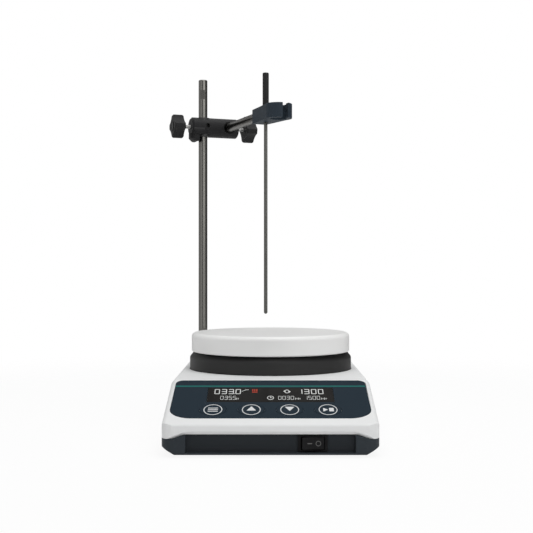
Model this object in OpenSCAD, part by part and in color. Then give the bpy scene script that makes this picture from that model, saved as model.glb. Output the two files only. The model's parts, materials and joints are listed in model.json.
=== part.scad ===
// Hotplate magnetic stirrer with a support rod, a boss head and a temperature sensor.
// Origin: centre of the footprint on the bench. +X is the user's right, +Y the back, +Z up.

/* [Base] */
// Width of the base across the front
base_w = 152; // [140:1:170]
// Depth of the base from front to back
base_d = 260; // [245:1:300]
// Height of the flat casing top above the bench
base_h = 45; // [43:0.5:55]
// Radius of the upright corners
corner_r = 10; // [7:0.5:14]
// Radius along the casing's top edges
top_edge_r = 4; // [2:0.5:6]
// Wall of the two shells
wall = 3; // [2.6:0.1:3.6]
// Height of the parting line at the sides
part_z = 12.7; // [11.5:0.1:14]
// Rise of the parting line at the middle of the front
arch_rise = 3.2; // [1:0.1:4]
// Distance from the side to the top of the arch
arch_inset = 18.5; // [15:0.5:24]
// Width of the arch's shoulder curve
arch_run = 13.5; // [8:0.5:14]
// Chamfer along the casing's lower front edge
lip_chamfer = 2.2; // [1:0.1:2.6]
// Width of the chamfer along the tray's lower long edges
chamfer_w = 9.5; // [4:0.5:12]
// Height of that chamfer
chamfer_h = 5; // [3:0.5:7]
// Height of the rubber feet below the tray
foot_h = 2; // [1:0.5:4]
// Radius of the rubber feet
foot_r = 7; // [5:0.5:9]

/* [Deck] */
// Distance from the front face to the ridge where the deck starts
deck_run = 80.5; // [74:0.5:90]
// Slope of the deck
deck_angle = 15.5; // [14:0.5:18]
// Radius where the deck turns into the front face
front_edge_r = 2; // [1.5:0.5:6]
// Margin from the panel to the sides
panel_margin = 4.2; // [3:0.1:10]
// Length of the panel along the slope
panel_len = 71.2; // [66:0.1:74]
// Distance from the ridge to the panel
panel_gap = 0.7; // [0.5:0.1:4]
// Thickness of the panel membrane
panel_t = 0.8; // [0.5:0.1:1.2]
// Radius of the panel's upper corners
panel_top_r = 6; // [3:0.5:10]
// Radius of the panel's lower corners
panel_low_r = 16; // [8:0.5:20]
// Width of the display window
window_w = 93; // [80:1:100]
// Height of the display window along the slope
window_h = 27; // [20:1:29]
// Distance from the ridge to the window
window_gap = 15.8; // [13:0.1:17]
// Thickness of the display window
window_t = 2; // [1.6:0.1:2.2]
// Radius of a key
key_r = 9.5; // [5.5:0.1:10]
// Spacing of the keys
key_pitch = 27.4; // [22:0.1:30]
// Distance from the ridge to the middle of the keys
key_gap = 57.1; // [55:0.1:58]
// Travel of a key
key_travel = 0.5; // [0.3:0.05:0.6]

/* [Switch recess] */
// Distance from the sides to the recess
recess_inset = 17; // [14:0.5:25]
// Depth of the recess
recess_d = 4; // [3:0.5:6]
// Height of the recess floor above the bench
recess_z = 3.4; // [3.2:0.1:4]
// Distance from the middle to the switch
switch_x = 29.3; // [-30:0.1:32]
// Width of the switch bezel
switch_w = 20.6; // [18:0.1:24]
// Height of the switch bezel
switch_h = 11.6; // [10:0.1:11.8]
// Swing of the rocker from one side to the other
rocker_swing = 10; // [6:1:12]

/* [Plate] */
// Diameter of the heating plate
plate_d = 135; // [120:1:136]
// Height of the heating plate from its rim to its top
plate_h = 16; // [13:0.1:18]
// Thickness of the plate's face
plate_t = 8; // [6:0.5:9]
// Radius of the plate's top edge
plate_edge_r = 3.6; // [1:0.1:4]
// Distance from the rear face to the plate's centre
plate_back = 81; // [78:0.5:90]
// Diameter of the insulating ring
ring_d = 138; // [130:1:139]
// Height of the insulating ring above the casing
ring_h = 14.5; // [12:0.5:18]
// Radial width of the ring's top chamfer
ring_bevel_w = 3.5; // [1:0.5:4]
// Height of the ring's top chamfer
ring_bevel_h = 4.2; // [1:0.1:6]
// Gap between the ring and the plate
plate_gap = 0.3; // [0.3:0.1:2]

/* [Stirrer] */
// Diameter of the motor
motor_d = 42; // [36:1:50]
// Height of the motor
motor_h = 24; // [18:1:26]
// Diameter of the motor shaft
shaft_d = 5; // [4:0.5:6]
// Diameter of the magnet carrier
carrier_d = 60; // [50:1:66]
// Diameter of a drive magnet
magnet_d = 16; // [12:1:18]
// Height of a drive magnet
magnet_h = 7; // [5:0.5:8]
// Distance between the two magnets' centres
magnet_pitch = 40; // [32:1:42]

/* [Stand] */
// Diameter of the support rod
rod_d = 8; // [7:0.5:9]
// Length of the support rod
rod_len = 277.6; // [260:0.1:320]
// Distance from the left side to the rod's axis
rod_side = 14.5; // [13:0.5:18]
// Distance from the rear face to the rod's axis
rod_back = 28; // [26:0.5:34]
// Depth of the rod in its socket
rod_depth = 21; // [14:1:24]
// Distance between the spanner flats
flat_w = 7; // [6:0.1:7.5]
// Length of the spanner flats
flat_len = 8; // [5:0.5:12]
// Distance from the rod's top to the flats
flat_gap = 9.6; // [4:0.1:14]

/* [Boss head] */
// Height of the boss head's axis above the casing top
boss_up = 213.5; // [205:0.1:222]
// Turn of the boss head about the rod
boss_turn = 21.5; // [-30:0.5:45]
// Diameter of the boss head
boss_d = 17.6; // [17:0.2:22]
// Reach of the boss head to the left of the rod
boss_left = 12; // [9.5:0.5:14]
// Reach of the boss head to the right of the rod
boss_right = 32; // [29:0.5:42]
// Distance from the rod's axis to the arm's axis
arm_offset = 22.5; // [18:0.5:23]
// Outside diameter of the split bush round the rod
bush_d = 12; // [11:0.5:13]
// Length of the split bush
bush_len = 17; // [15:0.5:18]
// Diameter of the rod's clamp knob
knob_d = 21; // [18:0.5:26]
// Diameter of the arm's clamp knob
arm_knob_d = 24; // [18:0.5:26]
// Length of the clamp knobs
knob_len = 10; // [8:0.5:16]
// Gap between a clamp knob and the boss head
knob_gap = 7; // [2:0.5:12]
// Diameter of the clamp screws
screw_d = 3; // [3:0.5:5]
// Number of lobes round a clamp knob
knob_lobes = 4; // [3:1:7]

/* [Sensor] */
// Diameter of the sensor arm
arm_d = 8; // [6:0.5:9]
// Reach of the arm from the boss axis to the holder
arm_reach = 85; // [60:1:100]
// Depth of the arm in the holder
arm_depth = 9.5; // [8:0.5:11]
// Length of arm behind the boss axis
arm_tail = 30; // [28:1:60]
// Height of the sensor holder
holder_h = 12; // [11:0.5:16]
// Drop of the holder's middle below the arm's axis
holder_drop = 0.8; // [0:0.1:1]
// Width of the sensor holder at its back
block_w = 13; // [12:0.5:18]
// Distance from the holder's back to the sensor
sensor_gap = 14.8; // [14:0.1:18]
// Distance from the holder's back to the clip's centre
clip_gap = 38.3; // [34:0.1:48]
// Sideways distance from the arm's axis to the clip
clip_side = 2; // [0:0.1:5]
// Outside radius of the clip
clip_r = 11; // [10.5:0.1:14]
// Diameter of the clip's bore
clip_bore_d = 13; // [8:0.5:15]
// Width of the clip's slot
clip_slot = 4.8; // [2:0.1:6]
// Sideways distance from the clip's centre to its slot
clip_slot_side = 1.9; // [0:0.1:3]
// Diameter of the sensor tube
tube_d = 3; // [2:0.1:4]
// Length of the sensor tube below the holder's top
tube_len = 171; // [150:1:180]
// Diameter of the sensor's grip
grip_d = 5.2; // [4.6:0.1:8]
// Length of the sensor's grip
grip_len = 29.1; // [20:0.5:60]

/* [Rear] */
// Distance from the middle to the mains inlet
inlet_x = 32; // [20:1:36]
// Height of the mains inlet's centre
inlet_z = 29.5; // [28.5:0.5:31]
// Distance from the middle to the sensor socket
socket_x = -18; // [-24:1:-8]
// Radius of the sensor socket's bore
socket_bore_r = 3.5; // [2.5:0.1:4]

/* [Clearances] */
// Radial clearance of running fits
run_fit = 0.05; // [0.02:0.01:0.1]
// Clearance round pieces let into the shells
let_in = 0.2; // [0.1:0.05:0.3]
// Clearance between moving pieces and what they pass
free_gap = 0.3; // [0.25:0.05:0.4]

/* [Hidden] */
$fn = 64;
far = 400;
eps = 0.01;

front_y = -base_d / 2;
back_y = base_d / 2;
ridge_y = front_y + deck_run;
floor_z = foot_h + wall;
roof_z = base_h - wall;
arch_half = base_w / 2 - arch_inset;
arch_z = part_z + arch_rise;
arch_steps = 12;

panel_w = base_w - 2 * panel_margin;
panel_mid = -panel_gap - panel_len / 2;
window_mid = -window_gap - window_h / 2;
window_ledge = 2;
key_rows = [-1.5, -0.5, 0.5, 1.5];
key_proud = 0.1;
key_t = 1.6;
key_stem_r = 1.8;
key_stem_gap = 0.1;
board_t = 1.6;
board_drop = 3.2;
board_w = 110;
board_h = 52;
board_mid = -10 - board_h / 2;
board_post_r = 3;
board_inset = 4;
key_floor = key_proud - key_t - key_travel - key_stem_gap;
tact_h = 2.2;
tact_w = 6;
tact_rim = 0.6;
tact_button_r = 1.7;
tact_top = tact_h - wall - board_drop;
stem_low = tact_top + key_travel + key_stem_gap;

recess_half = base_w / 2 - recess_inset;
recess_back = front_y + recess_d;
lip_t = 2.4;
switch_z = (recess_z + arch_z) / 2;
bezel_t = 1.5;
switch_body_d = 16;
bezel_rim = 2.2;
rocker_rim = 1.3;
cavity_w = switch_w - 2 * bezel_rim;
cavity_h = switch_h - 2 * rocker_rim;
cavity_d = 8;
rocker_w = cavity_w - 1;
rocker_h = cavity_h - 2 * free_gap;
rocker_y = recess_back - bezel_t + 1;
rocker_depth = 3;
trunnion_r = 1;
trunnion_len = 0.8;

post_r = 4.5;
post_z = 16;
post_side = 19;
post_end = 12;
post_x = base_w / 2 - post_side;
post_y = base_d / 2 - post_end;
casing_screw_r = 1.6;
casing_head_r = 3;
casing_head_h = 2;
casing_head_z = foot_h + 1.2;
casing_screw_top = post_z + 4.5;
foot_side = 11.5;
foot_end = 32;
foot_x = base_w / 2 - chamfer_w - foot_side;
foot_y = base_d / 2 - foot_end;
foot_seat = 1.2;

plate_y = back_y - plate_back;
plate_r = plate_d / 2;
ring_r = ring_d / 2;
ring_seat = 0.5;
ring_top = base_h + ring_h;
ring_wall = 7;
ring_flange_t = 2.5;
ring_flange_in = 42;
plate_low = ring_top + plate_gap;
plate_top = plate_low + plate_h;
plate_face = plate_top - plate_t;
plate_skirt = 3.5;
plate_foot_r = 1.2;
spacer_ring = 52;
spacer_r = 4;
spacer_stud_r = 2;
spacer_foot = base_h - ring_seat + ring_flange_t;
nut_h = 3.2;
nut_r = 4;
heater_r = plate_r - plate_skirt - 4;
heater_t = 3;
insulation_t = 2.4;
probe_ring = 38;
probe_r = 2.5;
probe_len = 9;

shaft_r = shaft_d / 2;
bracket_t = 2;
bracket_w = 62;
bracket_hole = bracket_w - 12;
motor_top = roof_z - bracket_t;
motor_low = motor_top - motor_h;
motor_boss_r = 6;
shaft_hole_r = 8;
shaft_low = motor_low + 3;
carrier_low = base_h + 2.5;
carrier_t = 4;
hub_r = 6;
hub_h = 7.5;
shaft_top = carrier_low + hub_h;
magnet_seat = 1;
machine_screw_r = 1.5;
machine_head_r = 2.8;
machine_head_h = 1.8;
machine_grip = 1.8;

power_w = 84;
power_h = 70;
transformer_w = 28;
transformer_d = 24;
relay_w = 20;
relay_d = 15;
relay_h = 9;
tall_h = 11;
capacitor_r = 5;
capacitor_pitch = 13;
part_gap = 10;
power_t = 1.6;
power_z = floor_z + 6;
power_y = ridge_y + 6;
power_post_r = 3;

rod_x = -base_w / 2 + rod_side;
rod_y = back_y - rod_back;
rod_r = rod_d / 2;
rod_low = base_h - rod_depth;
rod_top = rod_low + rod_len;
rod_socket_r = rod_r + 4;
rod_neck_r = rod_r + 2.5;
rod_neck_h = 1.5;

boss_z = base_h + boss_up;
boss_r = boss_d / 2;
boss_bevel = 1.5;
bush_r = bush_d / 2;
bush_slit = 1.2;
lug_drop = boss_r + 4;
lug_cut = 5.5;
lug_over = 1;
lug_r = boss_left + lug_over;
lug_rise = 6;
lug_half = boss_r - 1;
pin_hole_r = 1.9;
pin_hole_x = 2;
pin_hole_z = 1.2;
lip_r = 3.4;
lip_fore = 6.4;
lip_drop = 3.6;
lip_gap = 1;
arm_mouth_r = arm_d / 2 + 1.3;
arm_mouth_depth = 2.4;
screw_r = screw_d / 2;
arm_r = arm_d / 2;
knob_bore_depth = 6;
knob_bevel = 1;
knob_clock = 12;

holder_back = -arm_reach;
sensor_t = arm_reach + sensor_gap;
clip_t = arm_reach + clip_gap;
clip_tuck = 0.9;
clip_lead = 3;
tube_r = tube_d / 2;
grip_r = grip_d / 2;
grip_seat = 11;

inlet_w = 26;
inlet_h = 18;
inlet_d = 16;
inlet_lip = 2;
inlet_flange = 2.4;
inlet_skin = 1.5;
inlet_floor = 3;
inlet_pin_w = 2;
inlet_pin_h = 4.4;
inlet_pin_tip = 5.5;
inlet_pin_x = 7;
inlet_pin_z = 2;
socket_flange_r = 8;
socket_neck_r = 6;
socket_lip = 1.5;
socket_d = 14;
socket_bore_d = 10;

// Flat shapes

// A rectangle with round corners, centred
module rounded_rect(w, d, r) {
    square([w - 2 * r, d], center = true);
    square([w, d - 2 * r], center = true);
    for (x = [-1, 1], y = [-1, 1])
        translate([x * (w / 2 - r), y * (d / 2 - r)]) circle(r);
}

// A rectangle under y = 0 whose two upper corners are round
module round_top(w, h, r) {
    translate([-w / 2, -h]) square([w, h - r]);
    translate([-w / 2 + r, -h]) square([w - 2 * r, h]);
    for (x = [-1, 1]) translate([x * (w / 2 - r), -r]) circle(r);
}

// Outline of the panel, round its own middle
module panel_outline(grow = 0) {
    w = panel_w / 2 + grow;
    h = panel_len / 2 + grow;
    top = panel_top_r + grow;
    low = panel_low_r + grow;
    translate([-w, low - h]) square([2 * w, 2 * h - low - top]);
    translate([low - w, -h]) square([2 * (w - low), 2 * h]);
    translate([top - w, 0]) square([2 * (w - top), h]);
    for (x = [-1, 1]) {
        translate([x * (w - top), h - top]) circle(top);
        translate([x * (w - low), low - h]) circle(low);
    }
}

// The parting line between tray and casing from left to right, seen from the front.
// Each shoulder of the arch is half a wave, from the arch's top down to the sides.
function parting_line() =
    let (shoulder = [for (k = [0:arch_steps])
            [arch_half + arch_run * k / arch_steps,
                part_z + arch_rise * (1 + cos(180 * k / arch_steps)) / 2]],
        left = [for (k = [arch_steps:-1:0]) [-shoulder[k].x, shoulder[k].y]])
    concat([[-base_w, part_z]], left, shoulder, [[base_w, part_z]]);

// Everything under the parting line
module under_parting() {
    polygon(concat(parting_line(), [[base_w, -base_h], [-base_w, -base_h]]));
}

// A flat shape seen from the front, drawn out from the front to the back
module front_to_back(len = far) {
    rotate([90, 0, 0]) linear_extrude(len, center = true) children();
}

// Everything under a slope of 45 degrees that leaves the parting line just behind the front face
module under_lip() {
    line = [for (p = parting_line()) [p.x, (p.y + front_y + lip_chamfer) * cos(45)]];
    rotate([-45, 0, 0]) front_to_back(2 * far) polygon(concat(line, [[base_w, -far], [-base_w, -far]]));
}

// Places

// From the ridge down the deck: y runs up the slope, z stands out of it
module on_deck() {
    translate([0, ridge_y, base_h]) rotate([deck_angle, 0, 0]) children();
}

// At each key
module at_key(row) {
    on_deck() translate([row * key_pitch, -key_gap, 0]) children();
}

// At the four corners of a rectangle
module at_corners(x, y) {
    for (sx = [-1, 1], sy = [-1, 1]) translate([sx * x, sy * y, 0]) children();
}

// At the three spacers under the plate
module at_spacers() {
    for (turn = [30, 150, 270])
        translate([0, plate_y, 0]) rotate([0, 0, turn]) translate([spacer_ring, 0, 0]) children();
}

// At the boss head: x runs along its axis, -y along the arm
module at_boss() {
    translate([rod_x, rod_y, boss_z]) rotate([0, 0, boss_turn]) children();
}

// At the switch, with y running into the base
module at_switch() {
    translate([switch_x, recess_back, switch_z]) children();
}

// At the rear face, with z running out of it and y up
module at_rear(x, z) {
    translate([x, back_y, z]) rotate([-90, 0, 0]) mirror([0, 1, 0]) children();
}

// Shells

// Outline of the casing from the side with its front and rear edges rounded
module casing_side(inset) {
    front = front_y + inset;
    back = back_y - inset;
    top = base_h - inset;
    fr = max(front_edge_r - inset, 0.6);
    br = max(top_edge_r - inset, 0.6);
    s = sin(deck_angle);
    c = cos(deck_angle);
    ridge = ridge_y + inset * (1 - c) / s;
    nose = [front, base_h + ((front - ridge_y) * s - inset) / c];
    mid = [front + fr, base_h + ((front + fr - ridge_y) * s - inset - fr) / c];
    difference() {
        polygon([[front, 0], [back, 0], [back, top], [ridge, top], nose]);
        polygon([nose + [-1, 1], mid + fr * [-s, c] + [-s, c], mid, [front - 1, mid.y]]);
        translate([back - br, top - br]) square(br + 1);
    }
    translate(mid) circle(fr);
    translate([back - br, top - br]) circle(br);
}

// The casing's outer form, or its hollow when inset by the wall
module casing_form(inset = 0) {
    edge = max(top_edge_r - inset, 0.6);
    intersection() {
        linear_extrude(base_h)
            rounded_rect(base_w - 2 * inset, base_d - 2 * inset, corner_r - inset);
        rotate([90, 0, 90]) linear_extrude(far, center = true) casing_side(inset);
        front_to_back() translate([0, base_h - inset]) round_top(base_w - 2 * inset, base_h, edge);
        on_deck() front_to_back(2 * far) translate([0, -inset])
            round_top(base_w - 2 * inset, far, edge);
    }
}

// The tray's outer form, or its hollow when inset by the wall
module tray_form(inset = 0) {
    w = base_w / 2 - inset;
    low = foot_h + inset;
    intersection() {
        linear_extrude(base_h) rounded_rect(2 * w, base_d - 2 * inset, corner_r - inset);
        front_to_back() polygon([[-w, base_h], [-w, low + chamfer_h], [chamfer_w - w, low],
            [w - chamfer_w, low], [w, low + chamfer_h], [w, base_h]]);
    }
}

module bottom_tray() {
    vent_w = 3;
    vent_len = 34;
    vent_pitch = 8;
    color("#343a40") difference() {
        union() {
            difference() {
                tray_form();
                tray_form(wall);
            }
            // Walls round the switch recess
            intersection() {
                tray_form();
                translate([-recess_half - wall, front_y, foot_h])
                    cube([2 * (recess_half + wall), recess_d + wall, base_h]);
            }
            translate([0, 0, floor_z - eps]) at_corners(post_x, post_y)
                cylinder(h = post_z - floor_z + eps, r = post_r);
        }
        difference() {
            front_to_back() difference() {
                translate([-base_w, 0]) square([2 * base_w, base_h]);
                under_parting();
            }
            at_corners(post_x, post_y) cylinder(h = post_z, r = post_r);
        }
        translate([-recess_half, front_y - 1, recess_z]) cube([2 * recess_half, recess_d + 1, base_h]);
        at_switch() cube([switch_w - 2 * bezel_t + 2 * let_in, far / 10,
            switch_h - 2 * rocker_rim + 2 * let_in + bezel_t], center = true);
        at_corners(post_x, post_y) {
            cylinder(h = far, r = casing_screw_r + let_in);
            cylinder(h = casing_head_z + casing_head_h, r = casing_head_r + let_in);
        }
        at_corners(foot_x, foot_y) cylinder(h = foot_h + foot_seat, r = foot_r + let_in);
        // Air slots under the motor
        for (i = [-3:3]) translate([i * vent_pitch, plate_y, foot_h - 1])
            linear_extrude(wall + 2) rounded_rect(vent_w, vent_len, vent_w / 2 - eps);
    }
}

module rubber_feet() {
    color("#1d1e20") at_corners(foot_x, foot_y) rotate_extrude()
        polygon([[0, 0], [foot_r - 0.6, 0], [foot_r, 0.6], [foot_r, foot_h + foot_seat],
            [0, foot_h + foot_seat]]);
}

module casing_screws() {
    color("silver") at_corners(post_x, post_y) difference() {
        union() {
            translate([0, 0, casing_head_z]) cylinder(h = casing_head_h, r = casing_head_r);
            translate([0, 0, casing_head_z])
                cylinder(h = casing_screw_top - casing_head_z, r = casing_screw_r);
        }
        for (turn = [0, 90]) rotate([0, 0, turn]) translate([0, 0, casing_head_z])
            cube([0.8, 3.6, 1.6], center = true);
    }
}

module upper_casing() {
    color("#e9eaea") difference() {
        union() {
            difference() {
                casing_form();
                casing_form(wall);
            }
            // Shelf that closes the top of the switch recess
            intersection() {
                casing_form();
                translate([-recess_half - wall, front_y, arch_z])
                    cube([2 * (recess_half + wall), recess_d + wall, lip_t]);
            }
            // Columns for the casing screws and posts for the control board
            intersection() {
                casing_form(wall / 2);
                union() {
                    translate([0, 0, post_z]) at_corners(post_x, post_y) cylinder(h = far, r = post_r);
                    on_deck() translate([0, board_mid, -wall - board_drop])
                        at_corners(board_w / 2 - board_inset, board_h / 2 - board_inset)
                            cylinder(h = board_drop + wall / 2, r = board_post_r);
                }
            }
        }
        difference() {
            front_to_back() under_parting();
            translate([0, 0, post_z]) at_corners(post_x, post_y) cylinder(h = far, r = post_r);
        }
        under_lip();
        at_corners(post_x, post_y) cylinder(h = casing_screw_top + 0.5, r = casing_screw_r + let_in);
        // Panel, window and keys
        on_deck() {
            translate([0, panel_mid, -panel_t]) linear_extrude(far) panel_outline(let_in);
            translate([0, window_mid, 0]) {
                translate([0, 0, -window_t])
                    linear_extrude(far)
                        square([window_w + 2 * let_in, window_h + 2 * let_in], center = true);
                cube([window_w - 2 * window_ledge, window_h - 2 * window_ledge, 6 * wall], center = true);
            }
            translate([0, board_mid, -wall - board_drop - eps])
                at_corners(board_w / 2 - board_inset, board_h / 2 - board_inset)
                    cylinder(h = machine_grip + let_in, r = machine_screw_r + let_in);
        }
        for (row = key_rows) at_key(row) {
            translate([0, 0, key_floor]) cylinder(h = far, r = key_r + free_gap);
            cylinder(h = 6 * wall, r = key_stem_r + free_gap, center = true);
        }
        // Seat of the insulating ring, shaft, spacers, motor screws and rod socket
        translate([0, plate_y, 0]) {
            translate([0, 0, base_h - ring_seat]) cylinder(h = far, r = ring_r + let_in);
            cylinder(h = far, r = shaft_hole_r);
            at_corners(bracket_hole / 2, bracket_hole / 2)
                cylinder(h = roof_z + machine_grip + let_in, r = machine_screw_r + let_in);
        }
        at_spacers() cylinder(h = far, r = spacer_stud_r + let_in);
        translate([rod_x, rod_y, roof_z - eps]) cylinder(h = far, r = rod_neck_r + let_in);
        // Openings in the rear wall
        at_rear(inlet_x, inlet_z)
            cube([inlet_w + 2 * let_in, inlet_h + 2 * let_in, 4 * wall], center = true);
        at_rear(socket_x, inlet_z) cylinder(h = 4 * wall, r = socket_neck_r + let_in, center = true);
    }
}

// Panel

module control_overlay() {
    color("#2d3740") on_deck() translate([0, 0, -panel_t]) difference() {
        translate([0, panel_mid, 0]) linear_extrude(panel_t) panel_outline();
        translate([0, window_mid, 0])
            cube([window_w + 2 * let_in, window_h + 2 * let_in, 4 * panel_t], center = true);
        for (row = key_rows) translate([row * key_pitch, -key_gap, 0])
            cylinder(h = 4 * panel_t, r = key_r + free_gap, center = true);
    }
}

module display_window() {
    color("#2b2a29") on_deck() translate([0, window_mid, -window_t])
        linear_extrude(window_t) square([window_w, window_h], center = true);
}

module display_module() {
    module_w = window_w - 2 * window_ledge - 4;
    module_h = window_h - 2 * window_ledge - 2;
    module_t = board_drop + wall - window_t - let_in;
    color("#1a1a1a") on_deck() translate([0, window_mid, -wall - board_drop])
        linear_extrude(module_t) square([module_w, module_h], center = true);
}

module control_board() {
    color("#1f5a3a") on_deck() translate([0, board_mid, -wall - board_drop - board_t]) difference() {
        linear_extrude(board_t) rounded_rect(board_w, board_h, 2);
        at_corners(board_w / 2 - board_inset, board_h / 2 - board_inset)
            cylinder(h = 4 * board_t, r = machine_screw_r + let_in, center = true);
    }
}

module tact_switches() {
    low = -wall - board_drop;
    color("#3a3a3c") for (row = key_rows) at_key(row) {
        translate([-tact_w / 2, -tact_w / 2, low]) cube([tact_w, tact_w, tact_h - tact_rim]);
        translate([0, 0, low]) cylinder(h = tact_h, r = tact_button_r);
    }
}

// One round key with the stem that works its switch
module key(row) {
    color("#2d3740") at_key(row) {
        translate([0, 0, key_proud - key_t]) cylinder(h = key_t, r = key_r);
        translate([0, 0, stem_low]) cylinder(h = key_proud - stem_low - eps, r = key_stem_r);
    }
}

module menu_key() key(key_rows[0]);
module up_key() key(key_rows[1]);
module down_key() key(key_rows[2]);
module start_key() key(key_rows[3]);

// One screw with a round head under z = 0 and its thread above
module machine_screw(len) {
    translate([0, 0, -machine_head_h]) difference() {
        cylinder(h = machine_head_h, r = machine_head_r);
        for (turn = [0, 90]) rotate([0, 0, turn]) cube([0.8, 3.4, 1.4], center = true);
    }
    translate([0, 0, -eps]) cylinder(h = len + eps, r = machine_screw_r);
}

// Switch

module switch_body() {
    body_w = switch_w - 2 * bezel_t;
    body_h = switch_h - 2 * rocker_rim + bezel_t;
    color("#151617") at_switch() difference() {
        union() {
            translate([-switch_w / 2, -bezel_t, -switch_h / 2]) cube([switch_w, bezel_t, switch_h]);
            translate([-body_w / 2, -eps, -body_h / 2]) cube([body_w, switch_body_d, body_h]);
            // Terminals
            for (x = [-5, 5]) translate([x - 0.4, switch_body_d - 1, -2.4]) cube([0.8, 7, 4.8]);
        }
        translate([-cavity_w / 2, -bezel_t - 1, -cavity_h / 2]) cube([cavity_w, cavity_d + 1, cavity_h]);
        translate([0, rocker_y - recess_back, 0])
            cylinder(h = rocker_h + 2 * trunnion_len + 2 * free_gap, r = trunnion_r + run_fit,
                center = true);
    }
}

// The rocker rests with its right half pressed in
module power_rocker() {
    crown = rocker_w / 2 * sin(rocker_swing / 2);
    color("#141517") translate([switch_x, rocker_y, switch_z]) rotate([0, 0, rocker_swing / 2]) {
        linear_extrude(rocker_h, center = true)
            polygon([[-rocker_w / 2, -rocker_depth + crown], [0, -rocker_depth + 2 * crown],
                [rocker_w / 2, -rocker_depth + crown], [rocker_w / 2, rocker_depth - 1],
                [0, rocker_depth], [-rocker_w / 2, rocker_depth - 1]]);
        cylinder(h = rocker_h + 2 * trunnion_len, r = trunnion_r, center = true);
    }
}

// Rear sockets

// Outline of the inlet's cavity with its two cut corners
module inlet_outline(w, h, cut) {
    polygon([[-w / 2, -h / 2], [w / 2, -h / 2], [w / 2, h / 2 - cut], [w / 2 - cut, h / 2],
        [cut - w / 2, h / 2], [-w / 2, h / 2 - cut]]);
}

module mains_inlet() {
    cut = 4;
    color("#18191a") at_rear(inlet_x, inlet_z) difference() {
        union() {
            linear_extrude(inlet_lip)
                rounded_rect(inlet_w + 2 * inlet_flange, inlet_h + 2 * inlet_flange, 2);
            translate([-inlet_w / 2, -inlet_h / 2, -inlet_d]) cube([inlet_w, inlet_h, inlet_d + eps]);
        }
        translate([0, 0, inlet_floor - inlet_d]) linear_extrude(far)
            inlet_outline(inlet_w - 2 * inlet_skin, inlet_h - 2 * inlet_skin, cut);
        for (p = [[-inlet_pin_x, -inlet_pin_z], [0, inlet_pin_z], [inlet_pin_x, -inlet_pin_z]])
            translate([p.x, p.y, 0])
                cube([inlet_pin_w + 2 * run_fit, inlet_pin_h + 2 * run_fit, 3 * inlet_d], center = true);
    }
}

module inlet_pins() {
    len = inlet_d + inlet_lip - inlet_pin_tip + 4;
    color("silver") at_rear(inlet_x, inlet_z)
        for (p = [[-inlet_pin_x, -inlet_pin_z], [0, inlet_pin_z], [inlet_pin_x, -inlet_pin_z]])
            translate([p.x - inlet_pin_w / 2, p.y - inlet_pin_h / 2, -inlet_d - 4])
                cube([inlet_pin_w, inlet_pin_h, len]);
}

module sensor_socket() {
    color("#2a2c2e") at_rear(socket_x, inlet_z) difference() {
        union() {
            cylinder(h = socket_lip, r = socket_flange_r);
            translate([0, 0, -socket_d]) cylinder(h = socket_d + eps, r = socket_neck_r);
        }
        translate([0, 0, socket_lip - socket_bore_d]) cylinder(h = far, r = socket_bore_r);
    }
}

// Boards

module power_board() {
    color("#2b6b45") translate([0, power_y, power_z]) {
        difference() {
            linear_extrude(power_t) rounded_rect(power_w, power_h, 2);
            at_corners(power_w / 2 - board_inset, power_h / 2 - board_inset)
                cylinder(h = 4 * power_t, r = machine_screw_r + let_in, center = true);
        }
        // Transformer, relay and two capacitors
        translate([-transformer_w - part_gap / 5, -transformer_d / 2, power_t - eps])
            cube([transformer_w, transformer_d, tall_h]);
        translate([part_gap, part_gap / 2, power_t - eps]) cube([relay_w, relay_d, relay_h]);
        for (i = [0, 1]) translate([part_gap + i * capacitor_pitch, -part_gap, power_t - eps])
            cylinder(h = tall_h, r = capacitor_r);
    }
}

module power_posts() {
    color("#b89a55") translate([0, power_y, floor_z])
        at_corners(power_w / 2 - board_inset, power_h / 2 - board_inset) difference() {
            cylinder(h = power_z - floor_z, r = power_post_r);
            translate([0, 0, power_z - floor_z - machine_grip - let_in])
                cylinder(h = far, r = machine_screw_r + run_fit);
        }
}

module board_screws() {
    color("silver") {
        on_deck() translate([0, board_mid, -wall - board_drop - board_t])
            at_corners(board_w / 2 - board_inset, board_h / 2 - board_inset)
                machine_screw(board_t + machine_grip);
        translate([0, power_y, power_z + power_t])
            at_corners(power_w / 2 - board_inset, power_h / 2 - board_inset)
                mirror([0, 0, 1]) machine_screw(power_t + machine_grip);
    }
}

// Stirrer

module motor_bracket() {
    color("#9aa0a4") translate([0, plate_y, motor_top]) difference() {
        linear_extrude(bracket_t) rounded_rect(bracket_w, bracket_w, 5);
        cylinder(h = 4 * bracket_t, r = motor_boss_r + let_in, center = true);
        at_corners(bracket_hole / 2, bracket_hole / 2)
            cylinder(h = 4 * bracket_t, r = machine_screw_r + let_in, center = true);
    }
}

module motor_screws() {
    color("silver") translate([0, plate_y, motor_top])
        at_corners(bracket_hole / 2, bracket_hole / 2) machine_screw(bracket_t + machine_grip);
}

module stirrer_motor() {
    lip = 1.5;
    color("#5c6166") translate([0, plate_y, 0]) difference() {
        union() {
            translate([0, 0, motor_low]) rotate_extrude() polygon([[0, 0], [motor_d / 2 - lip, 0],
                [motor_d / 2, lip], [motor_d / 2, motor_h], [0, motor_h]]);
            translate([0, 0, motor_top - eps]) cylinder(h = base_h - motor_top, r = motor_boss_r);
        }
        translate([0, 0, shaft_low - free_gap]) cylinder(h = far, r = shaft_r + run_fit);
    }
}

module motor_shaft() {
    color("silver") translate([0, plate_y, shaft_low]) cylinder(h = shaft_top - shaft_low, r = shaft_r);
}

module magnet_carrier() {
    color("#8d9296") translate([0, plate_y, carrier_low]) difference() {
        union() {
            cylinder(h = carrier_t, r = carrier_d / 2);
            cylinder(h = hub_h, r = hub_r);
        }
        cylinder(h = far, r = shaft_r + run_fit, center = true);
        for (x = [-1, 1]) translate([x * magnet_pitch / 2, 0, carrier_t - magnet_seat])
            cylinder(h = far, r = magnet_d / 2 + run_fit);
    }
}

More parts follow.
